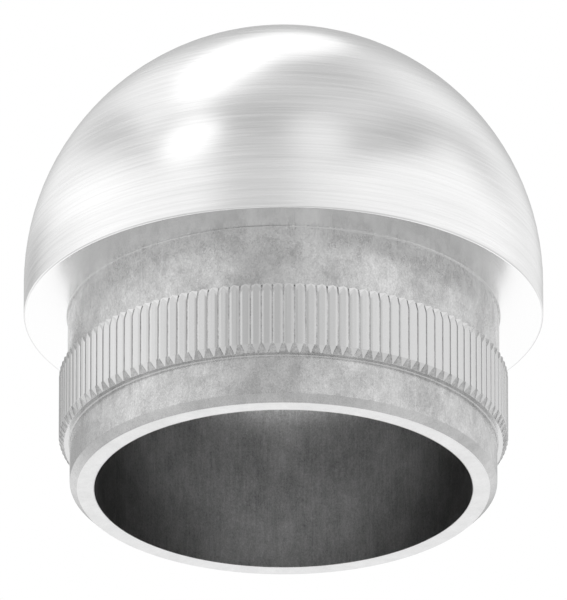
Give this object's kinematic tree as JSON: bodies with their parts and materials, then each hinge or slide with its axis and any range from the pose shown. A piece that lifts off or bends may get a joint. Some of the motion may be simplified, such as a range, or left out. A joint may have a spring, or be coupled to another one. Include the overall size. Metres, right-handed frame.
{
  "type": "tube end cap",
  "caption": "Domed end cap that closes a round handrail tube: its hollow spigot presses into the bore by a ribbed collar, and its shoulder seats on the cut end.",
  "frame": {"origin": "centre of the spigot's end face, the plane that the cap stands on", "axes": "+Z along the axis of the tube and the dome, from the end face up to the top of the dome; a gap between two ribs faces -Y"},
  "size_m": [0.0424, 0.0424, 0.0396],
  "materials": {
    "stainless": "satin"
  },
  "bodies": {
    "root": {"end_cap": "stainless"}
  },
  "joints": []
}
